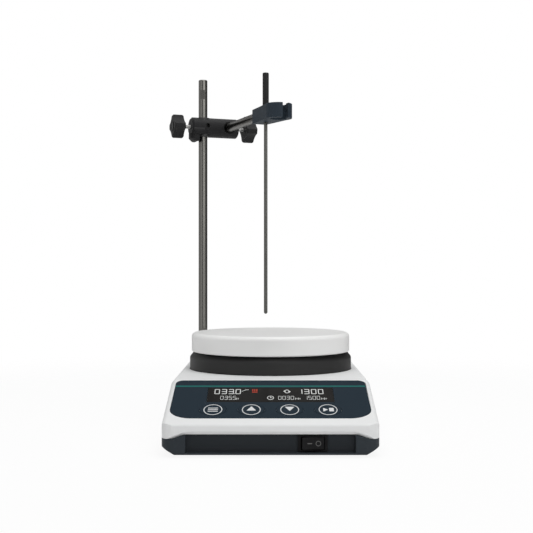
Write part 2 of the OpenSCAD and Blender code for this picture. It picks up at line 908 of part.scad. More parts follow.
module drive_magnets() {
    color("#6f7377") for (x = [-1, 1])
        translate([x * magnet_pitch / 2, plate_y, carrier_low + carrier_t - magnet_seat])
            cylinder(h = magnet_h, r = magnet_d / 2);
}

// Plate

module insulating_ring() {
    low = base_h - ring_seat;
    inner = ring_r - ring_wall;
    color("#2e2e2e") difference() {
        translate([0, plate_y, 0]) rotate_extrude()
            polygon([[ring_flange_in, low], [ring_r, low], [ring_r, ring_top - ring_bevel_h],
                [ring_r - ring_bevel_w, ring_top], [inner, ring_top], [inner, low + ring_flange_t],
                [ring_flange_in, low + ring_flange_t]]);
        at_spacers() cylinder(h = far, r = spacer_stud_r + let_in);
    }
}

module plate_standoffs() {
    color("silver") at_spacers() {
        translate([0, 0, spacer_foot]) cylinder(h = plate_face - spacer_foot, r = spacer_r);
        translate([0, 0, roof_z - nut_h - 1])
            cylinder(h = spacer_foot - roof_z + nut_h + 1 + eps, r = spacer_stud_r);
    }
}

module standoff_nuts() {
    color("silver") at_spacers() translate([0, 0, roof_z - nut_h]) difference() {
        cylinder(h = nut_h, r = nut_r, $fn = 6);
        cylinder(h = far, r = spacer_stud_r + run_fit, center = true);
    }
}

// A disc under the plate with room for the spacers and the probe
module under_plate_disc(low, t) {
    difference() {
        translate([0, plate_y, low]) cylinder(h = t, r = heater_r);
        at_spacers() cylinder(h = far, r = spacer_r + let_in);
        translate([0, plate_y + probe_ring, 0]) cylinder(h = far, r = probe_r + let_in);
    }
}

module insulation_disc() {
    color("#d8d2c0") under_plate_disc(plate_face - heater_t - insulation_t, insulation_t);
}

module heater_element() {
    color("#a9a294") under_plate_disc(plate_face - heater_t, heater_t);
}

module plate_probe() {
    color("silver") translate([0, plate_y + probe_ring, plate_face - probe_len])
        cylinder(h = probe_len, r = probe_r);
}

module heating_plate() {
    inner = plate_r - plate_skirt;
    color("#e4e5e5") translate([0, plate_y, 0]) difference() {
        rotate_extrude() {
            translate([0, plate_face]) square([plate_r - plate_edge_r, plate_t]);
            translate([inner, plate_low]) square([plate_skirt - plate_foot_r, plate_h - plate_edge_r]);
            translate([inner, plate_low + plate_foot_r])
                square([plate_skirt, plate_h - plate_edge_r - plate_foot_r]);
            translate([inner - 1, plate_face])
                square([plate_skirt + 1, plate_t - plate_edge_r]);
            translate([plate_r - plate_edge_r, plate_top - plate_edge_r]) intersection() {
                circle(plate_edge_r);
                square(plate_edge_r);
            }
            translate([plate_r - plate_foot_r, plate_low + plate_foot_r]) intersection() {
                circle(plate_foot_r);
                translate([0, -plate_foot_r]) square(plate_foot_r);
            }
        }
    }
}

// Stand

module rod_socket() {
    low = rod_low - 3;
    color("#b9bcbe") translate([rod_x, rod_y, 0]) difference() {
        union() {
            translate([0, 0, low]) cylinder(h = roof_z - low, r = rod_socket_r);
            translate([0, 0, low]) cylinder(h = base_h + rod_neck_h - low, r = rod_neck_r);
        }
        translate([0, 0, rod_low]) cylinder(h = far, r = rod_r + run_fit);
    }
}

module support_rod() {
    bevel = 0.6;
    color("#b4b6b8") translate([rod_x, rod_y, 0]) difference() {
        rotate_extrude() polygon([[0, rod_low], [rod_r, rod_low], [rod_r, rod_top - bevel],
            [rod_r - bevel, rod_top], [0, rod_top]]);
        for (side = [-1, 1])
            translate([0, side * (flat_w / 2 + rod_r), rod_top - flat_gap - flat_len / 2])
                cube([2 * rod_d, rod_d, flat_len], center = true);
    }
}

module rod_bush() {
    color("#d9d9d4") at_boss() difference() {
        cylinder(h = bush_len, r = bush_r, center = true);
        cylinder(h = far, r = rod_r + run_fit, center = true);
        translate([0, bush_r, 0]) cube([bush_slit, bush_d, far], center = true);
    }
}

module boss_head() {
    lug_bevel = 2.5;
    color("#242527") at_boss() difference() {
        union() {
            rotate([0, 90, 0]) rotate_extrude() polygon([[0, -boss_left], [boss_r - boss_bevel, -boss_left],
                [boss_r, boss_bevel - boss_left], [boss_r, boss_right - boss_bevel / 2],
                [boss_r - boss_bevel / 2, boss_right], [0, boss_right]]);
            // Rounded lip along the front of the rod's bore
            translate([lip_gap - boss_left, -lip_fore, -lip_drop]) rotate([0, 90, 0])
                cylinder(h = boss_left - 2 * lip_gap, r = lip_r);
            // Jaw under the left end
            intersection() {
                translate([0, 0, -lug_drop]) rotate_extrude() polygon([[0, 0], [lug_r - lug_bevel, 0],
                    [lug_r, lug_bevel], [lug_r, lug_drop - lug_rise], [0, lug_drop - lug_rise]]);
                translate([-2 * lug_r, -lug_half, -lug_drop])
                    cube([2 * lug_r - lug_cut, 2 * lug_half, lug_drop]);
            }
        }
        cylinder(h = far, r = bush_r + run_fit, center = true);
        translate([arm_offset, 0, 0]) rotate([90, 0, 0])
            cylinder(h = far, r = arm_r + run_fit, center = true);
        translate([-far, 0, 0]) rotate([0, 90, 0]) cylinder(h = far, r = screw_r + run_fit);
        translate([arm_offset, 0, 0]) rotate([0, 90, 0]) cylinder(h = far, r = screw_r + run_fit);
        translate([arm_offset, arm_mouth_depth - boss_r, 0]) rotate([90, 0, 0])
            cylinder(h = far, r = arm_mouth_r);
        translate([pin_hole_x, 0, pin_hole_z]) rotate([90, 0, 0]) cylinder(h = far, r = pin_hole_r);
    }
}

// A lobed thumb knob along +x with its bore for the screw at its near end
module knob(d) {
    knob_r = d / 2;
    knob_waist = d * 0.343;
    flute_r = d * 0.667;
    difference() {
        rotate([0, 90, 0]) rotate_extrude() polygon([[0, 0], [knob_r - knob_bevel, 0], [knob_r, knob_bevel],
            [knob_r, knob_len - knob_bevel], [knob_r - knob_bevel, knob_len], [0, knob_len]]);
        for (i = [0:knob_lobes - 1]) rotate([(i + 0.5) * 360 / knob_lobes, 0, 0])
            translate([-1, 0, knob_waist + flute_r]) rotate([0, 90, 0])
                cylinder(h = knob_len + 2, r = flute_r);
        translate([-1, 0, 0]) rotate([0, 90, 0]) cylinder(h = knob_bore_depth + 1, r = screw_r + run_fit);
    }
}

// A clamp screw from its tip to the bottom of its knob's bore
module clamp_screw(tip, knob_face) {
    bevel = 0.5;
    translate([tip, 0, 0]) rotate([0, 90, 0]) rotate_extrude()
        polygon([[0, 0], [screw_r - bevel, 0], [screw_r, bevel],
            [screw_r, knob_face + knob_bore_depth - tip], [0, knob_face + knob_bore_depth - tip]]);
}

module rod_clamp_screw() {
    color("silver") at_boss() mirror([1, 0, 0]) clamp_screw(bush_r + free_gap, boss_left + knob_gap);
}

module rod_clamp_knob() {
    color("#242527") at_boss() mirror([1, 0, 0]) translate([boss_left + knob_gap, 0, 0]) knob(knob_d);
}

module arm_clamp_screw() {
    color("silver") at_boss() clamp_screw(arm_offset + arm_r + free_gap, boss_right + knob_gap);
}

module arm_clamp_knob() {
    color("#242527") at_boss() translate([boss_right + knob_gap, 0, 0]) rotate([knob_clock, 0, 0])
        knob(arm_knob_d);
}

// Sensor

module sensor_arm() {
    bevel = 0.5;
    len = arm_tail + arm_reach + arm_depth;
    color("#b4b6b8") at_boss() translate([arm_offset, arm_tail, 0]) rotate([90, 0, 0]) rotate_extrude()
        polygon([[0, 0], [arm_r - bevel, 0], [arm_r, bevel], [arm_r, len - bevel],
            [arm_r - bevel, len], [0, len]]);
}

// The holder widens from its back to the clip, whose wall stands a little proud of its sides
module sensor_holder() {
    side = clip_r - clip_tuck;
    color("#3a434c") at_boss() translate([arm_offset, 0, 0]) difference() {
        translate([0, 0, -holder_drop]) linear_extrude(holder_h, center = true) difference() {
            union() {
                polygon([[-block_w / 2, holder_back], [clip_side - side, clip_lead - clip_t],
                    [clip_side, -clip_t], [clip_side + side, clip_lead - clip_t],
                    [block_w / 2, holder_back]]);
                translate([clip_side, -clip_t]) circle(clip_r);
            }
            translate([clip_side, -clip_t]) circle(clip_bore_d / 2);
            translate([clip_side + clip_slot_side - clip_slot / 2, -clip_t - 2 * clip_r])
                square([clip_slot, 2 * clip_r]);
            translate([0, -sensor_t]) circle(tube_r + run_fit);
        }
        translate([0, holder_back - arm_depth, 0]) rotate([-90, 0, 0])
            cylinder(h = far, r = arm_r + run_fit);
    }
}

module sensor_tube() {
    sensor_z = holder_h / 2 - holder_drop;
    color("#a6a8aa") at_boss() translate([arm_offset, -sensor_t, sensor_z]) rotate_extrude() {
        translate([0, tube_r - tube_len]) square([tube_r, tube_len - tube_r + grip_seat]);
        translate([0, tube_r - tube_len]) intersection() {
            circle(tube_r);
            translate([0, -tube_r]) square([tube_r, 2 * tube_r]);
        }
    }
}

module sensor_grip() {
    bevel = 0.5;
    sensor_z = holder_h / 2 - holder_drop;
    color("#1f2022") at_boss() translate([arm_offset, -sensor_t, sensor_z]) difference() {
        rotate_extrude() polygon([[0, 0], [grip_r, 0], [grip_r, grip_len - bevel],
            [grip_r - bevel, grip_len], [0, grip_len]]);
        cylinder(h = 2 * grip_seat, r = tube_r + run_fit, center = true);
    }
}

bottom_tray();
rubber_feet();
casing_screws();
power_board();
power_posts();
board_screws();
switch_body();
power_rocker();
upper_casing();
control_overlay();
display_window();
display_module();
control_board();
tact_switches();
menu_key();
up_key();
down_key();
start_key();
mains_inlet();
inlet_pins();
sensor_socket();
motor_bracket();
motor_screws();
stirrer_motor();
motor_shaft();
magnet_carrier();
drive_magnets();
insulating_ring();
plate_standoffs();
standoff_nuts();
insulation_disc();
heater_element();
plate_probe();
heating_plate();
rod_socket();
support_rod();
rod_bush();
boss_head();
rod_clamp_screw();
rod_clamp_knob();
arm_clamp_screw();
arm_clamp_knob();
sensor_arm();
sensor_holder();
sensor_tube();
sensor_grip();
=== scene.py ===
# Hotplate stirrer: the finish of every piece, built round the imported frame.
import json
import math

import bpy
from mathutils import Matrix, Vector


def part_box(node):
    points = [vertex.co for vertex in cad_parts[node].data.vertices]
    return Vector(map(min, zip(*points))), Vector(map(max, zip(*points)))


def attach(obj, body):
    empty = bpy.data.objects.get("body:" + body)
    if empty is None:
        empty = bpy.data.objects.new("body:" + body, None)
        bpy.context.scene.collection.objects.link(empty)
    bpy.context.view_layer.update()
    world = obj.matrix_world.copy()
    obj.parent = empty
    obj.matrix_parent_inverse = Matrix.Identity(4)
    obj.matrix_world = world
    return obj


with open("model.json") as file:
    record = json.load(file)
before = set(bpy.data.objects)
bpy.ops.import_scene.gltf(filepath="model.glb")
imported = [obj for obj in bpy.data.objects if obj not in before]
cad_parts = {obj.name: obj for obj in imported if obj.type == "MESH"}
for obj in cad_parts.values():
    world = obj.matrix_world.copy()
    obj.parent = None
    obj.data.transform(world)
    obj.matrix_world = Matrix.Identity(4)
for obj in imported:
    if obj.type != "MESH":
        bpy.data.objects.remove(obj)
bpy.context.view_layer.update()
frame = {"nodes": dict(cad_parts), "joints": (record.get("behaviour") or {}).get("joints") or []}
nodes = frame["nodes"]
joints = {joint["name"]: joint for joint in frame["joints"]}
bpy.ops.object.select_all(action="DESELECT")


# Camera.
# It stands level in front of the base, a little under half the rod's height, as the photograph was taken.
image_px = 533
centre_px = 270.5
focal_px = 1046
camera_y = -0.851
camera_z = 0.132
sensor_mm = 36
bpy.ops.object.camera_add(location=(0, camera_y, camera_z), rotation=(math.radians(90), 0, 0))
camera = bpy.context.object
camera.data.sensor_width = sensor_mm
camera.data.lens = focal_px / image_px * sensor_mm
camera.data.shift_x = (image_px / 2 - centre_px) / image_px
bpy.context.scene.camera = camera
bpy.context.scene.view_settings.view_transform = "Standard"


# Floor and light.
# A pale disc that fades out into a white backdrop, one wide lamp overhead and a weak one at the front.
# Grey cards stand round the object, as in a studio, and draw the bands on the bright metal.
floor_r = 0.75
floor_fade = 0.35
backdrop = bpy.data.worlds.new("backdrop")
backdrop.use_nodes = True
bpy.context.scene.world = backdrop
tree = backdrop.node_tree
tree.nodes.clear()
path = tree.nodes.new("ShaderNodeLightPath")
seen = tree.nodes.new("ShaderNodeMath")
seen.operation = "MAXIMUM"
shown = tree.nodes.new("ShaderNodeMath")
shown.operation = "MAXIMUM"
ambient = tree.nodes.new("ShaderNodeBackground")
ambient.inputs["Strength"].default_value = 0.42
white = tree.nodes.new("ShaderNodeBackground")
for background in (ambient, white):
    background.inputs["Color"].default_value = (1, 1, 1, 1)
choose = tree.nodes.new("ShaderNodeMixShader")
sky = tree.nodes.new("ShaderNodeOutputWorld")
tree.links.new(path.outputs["Is Camera Ray"], seen.inputs[0])
tree.links.new(path.outputs["Is Glossy Ray"], seen.inputs[1])
tree.links.new(seen.outputs[0], shown.inputs[0])
tree.links.new(path.outputs["Is Transmission Ray"], shown.inputs[1])
tree.links.new(shown.outputs[0], choose.inputs["Fac"])
tree.links.new(ambient.outputs[0], choose.inputs[1])
tree.links.new(white.outputs[0], choose.inputs[2])
tree.links.new(choose.outputs[0], sky.inputs["Surface"])

bpy.ops.mesh.primitive_circle_add(vertices=96, radius=floor_r, fill_type="NGON")
floor = bpy.context.object
floor.name = "floor"
pale = bpy.data.materials.new("pale_floor")
pale.use_nodes = True
tree = pale.node_tree
tree.nodes.clear()
place = tree.nodes.new("ShaderNodeTexCoord")
reach = tree.nodes.new("ShaderNodeVectorMath")
reach.operation = "LENGTH"
fade = tree.nodes.new("ShaderNodeMapRange")
fade.interpolation_type = "SMOOTHSTEP"
fade.inputs["From Min"].default_value = floor_fade
fade.inputs["From Max"].default_value = floor_r
paper = tree.nodes.new("ShaderNodeBsdfDiffuse")
paper.inputs["Color"].default_value = (0.93, 0.93, 0.93, 1)
clear = tree.nodes.new("ShaderNodeBsdfTransparent")
blend = tree.nodes.new("ShaderNodeMixShader")
glow = tree.nodes.new("ShaderNodeEmission")
path = tree.nodes.new("ShaderNodeLightPath")
share = tree.nodes.new("ShaderNodeMath")
share.operation = "MULTIPLY"
share.inputs[1].default_value = 0.9
bright = tree.nodes.new("ShaderNodeMixShader")
out = tree.nodes.new("ShaderNodeOutputMaterial")
tree.links.new(path.outputs["Is Camera Ray"], share.inputs[0])
tree.links.new(share.outputs[0], bright.inputs["Fac"])
tree.links.new(paper.outputs[0], bright.inputs[1])
tree.links.new(glow.outputs[0], bright.inputs[2])
tree.links.new(place.outputs["Object"], reach.inputs[0])
tree.links.new(reach.outputs["Value"], fade.inputs["Value"])
tree.links.new(fade.outputs["Result"], blend.inputs["Fac"])
tree.links.new(bright.outputs[0], blend.inputs[1])
tree.links.new(clear.outputs[0], blend.inputs[2])
tree.links.new(blend.outputs[0], out.inputs["Surface"])
floor.data.materials.append(pale)


def add_lamp(name, location, target, size, watts):
    """A square soft lamp that looks at a point."""
    bpy.ops.object.light_add(type="AREA", location=location)
    lamp = bpy.context.object
    lamp.name = name
    lamp.data.size = size
    lamp.data.energy = watts
    lamp.rotation_euler = (Vector(target) - Vector(location)).to_track_quat("-Z", "Y").to_euler()


add_lamp("lamp_over", (0.1, -0.1, 1.35), (0, 0, 0.05), 0.9, 9.2)
add_lamp("lamp_front", (0.7, -1.1, 0.6), (0, 0, 0.1), 0.8, 2.6)


def add_card(name, centre, size, turn, grey):
    """A flat card that only mirror-like surfaces see: its centre, its size and how it is turned."""
    bpy.ops.mesh.primitive_plane_add(size=1, location=centre)
    card = bpy.context.object
    card.name = name
    card.rotation_euler = turn
    card.scale = (*size, 1)
    card.visible_camera = False
    card.visible_diffuse = False
    card.visible_shadow = False
    card.visible_transmission = False
    shade = bpy.data.materials.new(name)
    shade.use_nodes = True
    shade.node_tree.nodes.clear()
    plain = shade.node_tree.nodes.new("ShaderNodeEmission")
    plain.inputs["Color"].default_value = (grey, grey, grey, 1)
    out = shade.node_tree.nodes.new("ShaderNodeOutputMaterial")
    shade.node_tree.links.new(plain.outputs[0], out.inputs["Surface"])
    card.data.materials.append(shade)


upright = math.radians(90)
add_card("card_left", (-0.75, 0.475, 0.5), (1.65, 1.4), (upright, 0, upright), 0.6)
add_card("card_right", (0.65, 0.6, 0.5), (1.6, 1.4), (upright, 0, upright), 0.16)
add_card("card_front", (-0.39, -1.4, 0.5), (0.54, 1.4), (upright, 0, 0), 0.12)
add_card("card_back", (-0.05, 1.4, 0.5), (1.4, 1.4), (upright, 0, 0), 0.22)
add_card("card_over", (0, -0.2, 1.5), (1.6, 1.6), (0, 0, 0), 0.1)
bpy.ops.object.select_all(action="DESELECT")


# Bottom tray.
# The lower half of the housing, injection moulded in navy plastic with a fine spark-eroded grain.
# Four screws from below hold it to the casing; its front has the recess for the switch.
def srgb(red, green, blue):
    """A screen colour from 0 to 255 as the linear colour that a shader takes."""
    values = [v / 255 for v in (red, green, blue)]
    return tuple(v / 12.92 if v <= 0.04045 else ((v + 0.055) / 1.055) ** 2.4 for v in values) + (1.0,)


def make_grain_group():
    """Moulded grain: an even fine grain for the bump and a slow cloud for tone and gloss."""
    group = bpy.data.node_groups.new("moulded_grain", "ShaderNodeTree")
    for name, value in (("Grain Scale", 900.0), ("Cloud Scale", 18.0),
                        ("Rough Low", 0.4), ("Rough High", 0.5)):
        socket = group.interface.new_socket(name, in_out="INPUT", socket_type="NodeSocketFloat")
        socket.default_value = value
    for name in ("Height", "Roughness", "Tone"):
        group.interface.new_socket(name, in_out="OUTPUT", socket_type="NodeSocketFloat")
    entry = group.nodes.new("NodeGroupInput")
    leave = group.nodes.new("NodeGroupOutput")
    place = group.nodes.new("ShaderNodeTexCoord")
    grain = group.nodes.new("ShaderNodeTexNoise")
    grain.inputs["Detail"].default_value = 3
    cloud = group.nodes.new("ShaderNodeTexNoise")
    cloud.inputs["Detail"].default_value = 5
    gloss = group.nodes.new("ShaderNodeMapRange")
    gloss.inputs["From Min"].default_value = 0.3
    gloss.inputs["From Max"].default_value = 0.7
    group.links.new(place.outputs["Object"], grain.inputs["Vector"])
    group.links.new(place.outputs["Object"], cloud.inputs["Vector"])
    group.links.new(entry.outputs["Grain Scale"], grain.inputs["Scale"])
    group.links.new(entry.outputs["Cloud Scale"], cloud.inputs["Scale"])
    group.links.new(cloud.outputs["Fac"], gloss.inputs["Value"])
    group.links.new(entry.outputs["Rough Low"], gloss.inputs["To Min"])
    group.links.new(entry.outputs["Rough High"], gloss.inputs["To Max"])
    group.links.new(grain.outputs["Fac"], leave.inputs["Height"])
    group.links.new(gloss.outputs["Result"], leave.inputs["Roughness"])
    group.links.new(cloud.outputs["Fac"], leave.inputs["Tone"])
    return group


grain_group = make_grain_group()


def moulding(name, light, dark, grain=900.0, depth=0.08, rough=(0.4, 0.5), specular=0.4, cloud=18.0):
    """A moulded plastic: two close tones in a slow cloud, fine grain in the surface."""
    material = bpy.data.materials.new(name)
    material.use_nodes = True
    tree = material.node_tree
    shader = tree.nodes["Principled BSDF"]
    shader.inputs["Specular IOR Level"].default_value = specular
    effect = tree.nodes.new("ShaderNodeGroup")
    effect.node_tree = grain_group
    effect.inputs["Grain Scale"].default_value = grain
    effect.inputs["Cloud Scale"].default_value = cloud
    effect.inputs["Rough Low"].default_value = rough[0]
    effect.inputs["Rough High"].default_value = rough[1]
    tone = tree.nodes.new("ShaderNodeMix")
    tone.data_type = "RGBA"
    tone.inputs["A"].default_value = dark
    tone.inputs["B"].default_value = light
    bump = tree.nodes.new("ShaderNodeBump")
    bump.inputs["Strength"].default_value = depth
    bump.inputs["Distance"].default_value = 0.0002
    tree.links.new(effect.outputs["Tone"], tone.inputs["Factor"])
    tree.links.new(tone.outputs["Result"], shader.inputs["Base Color"])
    tree.links.new(effect.outputs["Roughness"], shader.inputs["Roughness"])
    tree.links.new(effect.outputs["Height"], bump.inputs["Height"])
    tree.links.new(bump.outputs["Normal"], shader.inputs["Normal"])
    return material


edge_angle = math.radians(35)


def finish_node(name, material, edge=0.0):
    """Gives a CAD node its material and, where it has an edge radius, softly rounded edges."""
    piece = nodes[name]
    piece.data.materials.clear()
    piece.data.materials.append(material)
    if edge:
        weld = piece.modifiers.new("weld", "WELD")
        weld.merge_threshold = 0.00001
        flat = piece.modifiers.new("flat", "DECIMATE")
        flat.decimate_type = "DISSOLVE"
        flat.angle_limit = math.radians(0.5)
        bevel = piece.modifiers.new("edges", "BEVEL")
        bevel.width = edge
        bevel.segments = 3
        bevel.limit_method = "ANGLE"
        bevel.angle_limit = edge_angle
        bevel.use_clamp_overlap = False
        bevel.harden_normals = True
        piece.modifiers.new("shading", "WEIGHTED_NORMAL").keep_sharp = True


tray_navy = moulding("tray_navy", srgb(53, 59, 64), srgb(47, 52, 57), grain=1400, depth=0.12,
                     rough=(0.46, 0.56), specular=0.12)
finish_node("bottom_tray", tray_navy, 0.00015)

# The faces inside the front recess are painted darker than the grained faces round it: painted shade under
# the overhanging casing lip
recess_half = 0.0588
recess_front = -0.1287
recess_rear = -0.12
recess_floor = 0.0038


def object_axes(material):
    """The X, Y and Z sockets of the object's own coordinates."""
    tree = material.node_tree
    place = tree.nodes.new("ShaderNodeTexCoord")
    axes = tree.nodes.new("ShaderNodeSeparateXYZ")
    tree.links.new(place.outputs["Object"], axes.inputs["Vector"])
    return axes.outputs


def tint(material, mask, colour):
    """Mixes another colour into a material where a mask is 1."""
    tree = material.node_tree
    shader = tree.nodes["Principled BSDF"]
    tone = shader.inputs["Base Color"].links[0].from_socket
    other = tree.nodes.new("ShaderNodeMix")
    other.data_type = "RGBA"
    other.inputs["B"].default_value = colour
    tree.links.new(mask, other.inputs["Factor"])
    tree.links.new(tone, other.inputs["A"])
    tree.links.new(other.outputs["Result"], shader.inputs["Base Color"])


tree = tray_navy.node_tree
axes = object_axes(tray_navy)
inside = None
for axis, operation, limit in (("X", "LESS_THAN", recess_half), ("X", "GREATER_THAN", -recess_half),
                               ("Y", "GREATER_THAN", recess_front), ("Y", "LESS_THAN", recess_rear),
                               ("Z", "GREATER_THAN", recess_floor)):
    test = tree.nodes.new("ShaderNodeMath")
    test.operation = operation
    test.inputs[1].default_value = limit
    tree.links.new(axes[axis], test.inputs[0])
    both = tree.nodes.new("ShaderNodeMath")
    both.operation = "MULTIPLY"
    both.inputs[1].default_value = 1
    tree.links.new(test.outputs[0], both.inputs[0])
    if inside:
        tree.links.new(inside, both.inputs[1])
    inside = both.outputs[0]
# Painted shade: the inside of the recess takes a darker navy
tint(tray_navy, inside, srgb(40, 44, 48))


# Rubber feet and the housing screws.
# Four moulded rubber feet pressed into seats in the tray, and four plated screws in deep holes.
foot_rubber = moulding("foot_rubber", srgb(36, 37, 38), srgb(28, 28, 29), grain=700, depth=0.3,
                       rough=(0.75, 0.9), specular=0.2)
finish_node("rubber_feet", foot_rubber, 0.0003)


def plated(name, colour, rough, scale=400.0):
    """A plated or turned metal with a fine uneven gloss."""
    material = bpy.data.materials.new(name)
    material.use_nodes = True
    tree = material.node_tree
    shader = tree.nodes["Principled BSDF"]
    shader.inputs["Metallic"].default_value = 1
    place = tree.nodes.new("ShaderNodeTexCoord")
    cloud = tree.nodes.new("ShaderNodeTexNoise")
    cloud.inputs["Scale"].default_value = scale
    cloud.inputs["Detail"].default_value = 4
    gloss = tree.nodes.new("ShaderNodeMapRange")
    gloss.inputs["To Min"].default_value = rough * 0.7
    gloss.inputs["To Max"].default_value = rough * 1.4
    tone = tree.nodes.new("ShaderNodeMix")
    tone.data_type = "RGBA"
    tone.inputs["A"].default_value = tuple(0.86 * c for c in colour[:3]) + (1,)
    tone.inputs["B"].default_value = colour
    tree.links.new(place.outputs["Object"], cloud.inputs["Vector"])
    tree.links.new(cloud.outputs["Fac"], gloss.inputs["Value"])
    tree.links.new(cloud.outputs["Fac"], tone.inputs["Factor"])
    tree.links.new(gloss.outputs["Result"], shader.inputs["Roughness"])
    tree.links.new(tone.outputs["Result"], shader.inputs["Base Color"])
    return material


bright_zinc = plated("bright_zinc", srgb(190, 190, 188), 0.28)
for name in ("casing_screws", "board_screws", "motor_screws", "plate_standoffs", "standoff_nuts",
             "inlet_pins", "motor_shaft", "plate_probe"):
    finish_node(name, bright_zinc)


# Power board.
# A glass-fibre board on four brass posts, with the transformer, relay and capacitors of the heater circuit.
def glass_fibre(name):
    """Green glass-fibre board."""
    return moulding(name, srgb(38, 92, 58), srgb(28, 74, 46), grain=500, depth=0.2, rough=(0.35, 0.5))


finish_node("control_board", glass_fibre("board_green"))
power_green = glass_fibre("power_green")
finish_node("power_board", power_green)


def above(material, low, high):
    """A mask that rises from 0 to 1 between two heights."""
    tree = material.node_tree
    rise = tree.nodes.new("ShaderNodeMapRange")
    rise.inputs["From Min"].default_value = low
    rise.inputs["From Max"].default_value = high
    tree.links.new(object_axes(material)["Z"], rise.inputs["Value"])
    return rise.outputs["Result"]


# The parts that stand on the board have dark cases
board_thick = 0.0016
case_foot = 0.0001
board_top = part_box("power_board")[0][2] + board_thick
tint(power_green, above(power_green, board_top + case_foot, board_top + 2 * case_foot), srgb(44, 45, 47))
finish_node("power_posts", plated("post_brass", srgb(196, 164, 96), 0.3))


# Power switch.
# A black snap-in rocker switch in the tray's front recess. Its bezel is matt, the rocker satin,
# and the two marks on the rocker are stamped in pale ink.
switch_black = moulding("switch_black", srgb(30, 30, 31), srgb(24, 24, 25), grain=1200, depth=0.15,
                        rough=(0.5, 0.6), specular=0.06)
rocker_black = moulding("rocker_black", srgb(31, 31, 32), srgb(26, 26, 27), grain=1500, depth=0.06,
                        rough=(0.34, 0.42), specular=0.08)
finish_node("switch_body", switch_black, 0.0003)
finish_node("power_rocker", rocker_black, 0.0003)


def ink(name, colour, glow=0.0):
    """Screen-printed ink with a slight unevenness; a lit segment also glows a little."""
    material = bpy.data.materials.new(name)
    material.use_nodes = True
    tree = material.node_tree
    shader = tree.nodes["Principled BSDF"]
    shader.inputs["Roughness"].default_value = 0.6
    shader.inputs["Specular IOR Level"].default_value = 0.1
    place = tree.nodes.new("ShaderNodeTexCoord")
    cloud = tree.nodes.new("ShaderNodeTexNoise")
    cloud.inputs["Scale"].default_value = 900
    cloud.inputs["Detail"].default_value = 3
    tone = tree.nodes.new("ShaderNodeMix")
    tone.data_type = "RGBA"
    tone.inputs["A"].default_value = tuple(0.88 * c for c in colour[:3]) + (1,)
    tone.inputs["B"].default_value = colour
    tree.links.new(place.outputs["Object"], cloud.inputs["Vector"])
    tree.links.new(cloud.outputs["Fac"], tone.inputs["Factor"])
    tree.links.new(tone.outputs["Result"], shader.inputs["Base Color"])
    if glow:
        shader.inputs["Emission Color"].default_value = colour
        shader.inputs["Emission Strength"].default_value = glow
    return material


def edit_all(*steps):
    """Runs edit-mode steps on the active mesh with all of it selected."""
    bpy.ops.object.mode_set(mode="EDIT")
    bpy.ops.mesh.select_all(action="SELECT")
    for step in steps:
        step()
    bpy.ops.object.mode_set(mode="OBJECT")


def print_bar(across, up):
    """A flat printed bar about the origin, its corners rounded."""
    bpy.ops.object.select_all(action="DESELECT")
    bpy.ops.mesh.primitive_plane_add(size=1)
    edit_all(lambda: bpy.ops.transform.resize(value=(across, up, 1), center_override=(0, 0, 0)),
             lambda: bpy.ops.mesh.bevel(offset=0.2 * min(across, up), segments=3, affect="VERTICES"))
    return bpy.context.object


def print_ring(radius, line, stretch=1.0):
    """A flat printed ring about the origin."""
    bpy.ops.object.select_all(action="DESELECT")
    bpy.ops.mesh.primitive_circle_add(vertices=72, radius=radius, fill_type="NGON")
    edit_all(lambda: bpy.ops.mesh.inset(thickness=line),
             lambda: bpy.ops.mesh.delete(type="FACE"),
             lambda: bpy.ops.mesh.select_all(action="SELECT"),
             lambda: bpy.ops.transform.resize(value=(1, stretch, 1), center_override=(0, 0, 0)))
    return bpy.context.object


def put(piece, across, up, turn=0.0):
    """Moves a flat print in its own plane."""
    piece.location = (across, up, 0)
    piece.rotation_euler = (0, 0, turn)
    return piece


def lay_print(name, shapes, plane, material, body, thick=0.00005):
    """Joins flat shapes into one print, gives it the thickness of ink and lays it in its plane."""
    bpy.ops.object.select_all(action="DESELECT")
    for shape in shapes:
        shape.select_set(True)
    bpy.context.view_layer.objects.active = shapes[0]
    bpy.ops.object.transform_apply(location=True, rotation=True, scale=True)
    if len(shapes) > 1:
        bpy.ops.object.join()
    piece = bpy.context.object
    piece.name = name
    solid = piece.modifiers.new("ink", "SOLIDIFY")
    solid.thickness = thick
    solid.offset = 1
    bpy.ops.object.modifier_apply(modifier="ink")
    piece.matrix_world = plane
    bpy.ops.object.transform_apply(location=True, rotation=True, scale=True)
    piece.data.materials.append(material)
    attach(piece, body)
    return piece


def plane_at(centre, across, up):
    """The place of a flat print: its centre, its right hand and its upward direction."""
    right = Vector(across).normalized()
    out_of = right.cross(Vector(up)).normalized()
    top = out_of.cross(right)
    turn = Matrix((right, top, out_of)).transposed()
    return Matrix.Translation(Vector(centre)) @ turn.to_4x4()


# The rocker's two faces slope by half its swing; each mark lies on the middle of its own face
rocker_pivot = Vector(joints["rocker_tilt"]["pos_m"])
rocker_half = 0.0076
rocker_front = 0.003
rocker_lean = math.radians(5)
mark_ink = ink("mark_ink", srgb(104, 104, 103))
crown = rocker_half * math.sin(rocker_lean)
for name, side, share, shape in (("rocker_mark_on", -1, 0.3, print_bar(0.0034, 0.0007)),
                                 ("rocker_mark_off", 1, 0.48, print_ring(0.0019, 0.0005))):
    fold = math.atan2(crown, rocker_half)
    centre = Vector((side * share * rocker_half, -rocker_front + crown * (2 - share), 0))
    across = Vector((math.cos(fold), -side * math.sin(fold), 0))
    turn = Matrix.Rotation(rocker_lean, 3, "Z")
    face = plane_at(rocker_pivot + turn @ centre, turn @ across, (0, 0, 1))
    lay_print(name, [shape], face, mark_ink, "rocker")


# Upper casing.
# The white upper half of the housing, moulded in one piece with the slanted deck and its rounded shoulders.
casing_white = moulding("casing_white", srgb(239, 240, 240), srgb(234, 235, 235), grain=1600, depth=0.05,
                        rough=(0.42, 0.52), specular=0.16, cloud=12)
finish_node("upper_casing", casing_white, 0.0003)


